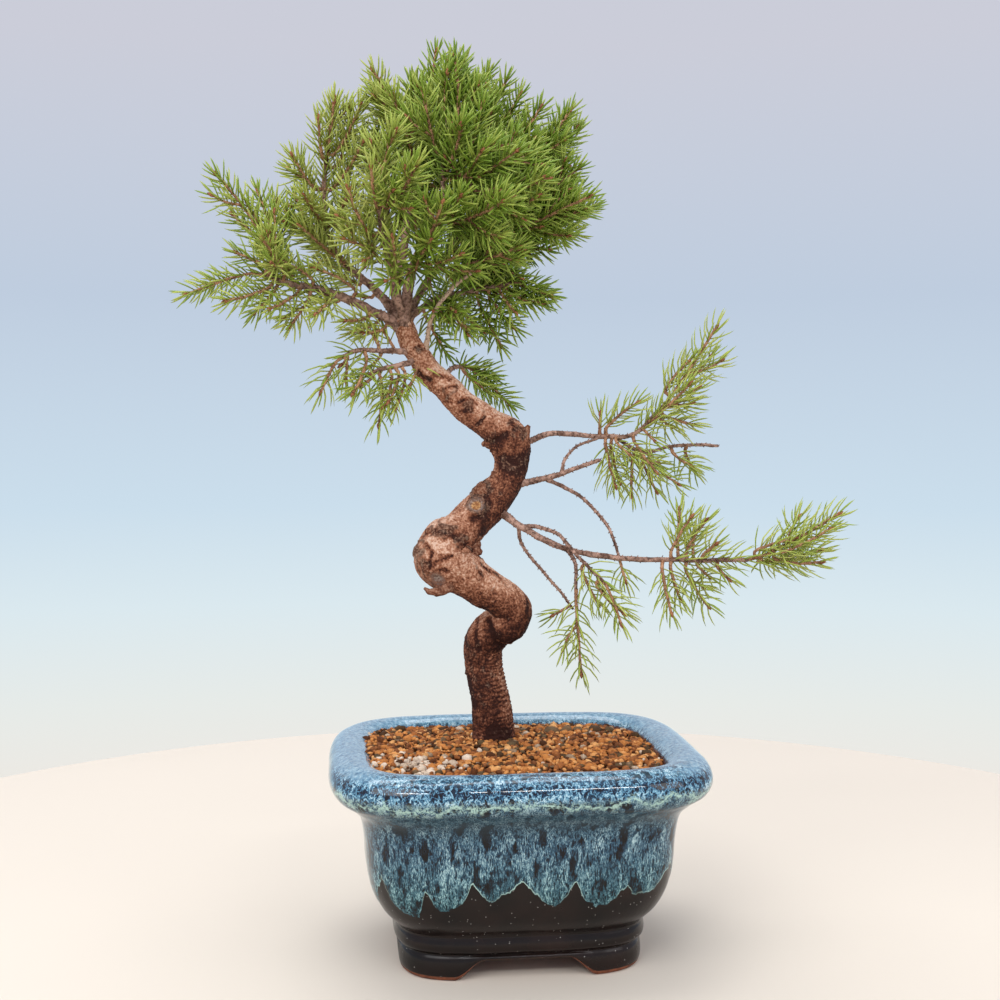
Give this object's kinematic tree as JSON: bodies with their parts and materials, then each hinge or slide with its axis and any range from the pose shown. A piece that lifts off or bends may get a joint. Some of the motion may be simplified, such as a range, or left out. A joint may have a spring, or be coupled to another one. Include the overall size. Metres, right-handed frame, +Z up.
{
  "type": "white spruce bonsai",
  "caption": "Twisted-trunk dwarf white spruce with thin side branches and short needled shoots, in a footed glazed pot of granular soil",
  "frame": {"origin": "centre of the pot's base, on the surface that it stands on", "axes": "+Z is up, +X is to the right of the pot's long side and -Y is the front"},
  "size_m": [0.2827, 0.1284, 0.372],
  "materials": {
    "glazed_pot": "mottled blue glaze running down in drips over gloss black-brown; bare fired clay on the soles of the feet and inside the wall",
    "drain_netting": "plain moulded netting",
    "grit_soil": "fired clay grains of orange, tan and brown with some grey and off-white grit",
    "bark": "flaky grey-brown to pinkish bark with cut scars; thinner branches orange-brown with peg-like leaf scars",
    "needles": "fresh green needles, yellower on the left and the lower branches, on orange-brown twigs with red-brown buds"
  },
  "bodies": {
    "root": {"pot": "glazed_pot", "drain_screen_left": "drain_netting", "drain_screen_right": "drain_netting", "soil": "grit_soil", "tree": "bark", "shoot_stem_a_01": "needles", "shoot_stem_a_02": "needles", "shoot_stem_a_03": "needles", "shoot_stem_a_04": "needles", "shoot_stem_c_05": "needles", "shoot_stem_c_06": "needles", "shoot_stem_c_07": "needles", "shoot_stem_b_08": "needles", "shoot_stem_b_09": "needles", "shoot_stem_b_10": "needles", "shoot_stem_b_11": "needles", "shoot_stem_b_12": "needles", "shoot_stem_b_13": "needles", "shoot_stem_e_14": "needles", "shoot_stem_e_15": "needles", "shoot_stem_e_16": "needles", "shoot_stem_e_17": "needles", "shoot_stem_e_18": "needles", "shoot_stem_e_19": "needles", "shoot_stem_f_20": "needles", "shoot_stem_f_21": "needles", "shoot_stem_f_22": "needles", "shoot_stem_f_23": "needles", "shoot_stem_g_24": "needles", "shoot_stem_g_25": "needles", "shoot_stem_g_26": "needles", "shoot_stem_e_27": "needles", "shoot_stem_h_28": "needles", "shoot_stem_h_29": "needles", "shoot_stem_h_30": "needles", "shoot_stem_h_31": "needles", "shoot_upper_left_32": "needles", "shoot_upper_left_33": "needles", "shoot_upper_left_34": "needles", "shoot_upper_left_35": "needles", "shoot_upper_left_36": "needles", "shoot_left_37": "needles", "shoot_left_38": "needles", "shoot_left_39": "needles", "shoot_left_40": "needles", "shoot_left_41": "needles", "shoot_lower_left_42": "needles", "shoot_lower_left_43": "needles", "shoot_lower_left_b_44": "needles", "shoot_back_twig_45": "needles", "shoot_right_1_46": "needles", "shoot_right_1_47": "needles", "shoot_right_1_48": "needles", "shoot_right_1_49": "needles", "shoot_right_3_50": "needles", "shoot_right_3_51": "needles", "shoot_right_3_52": "needles", "shoot_right_3_53": "needles", "shoot_over_twig_54": "needles", "shoot_drop_twig_55": "needles"}
  },
  "joints": []
}
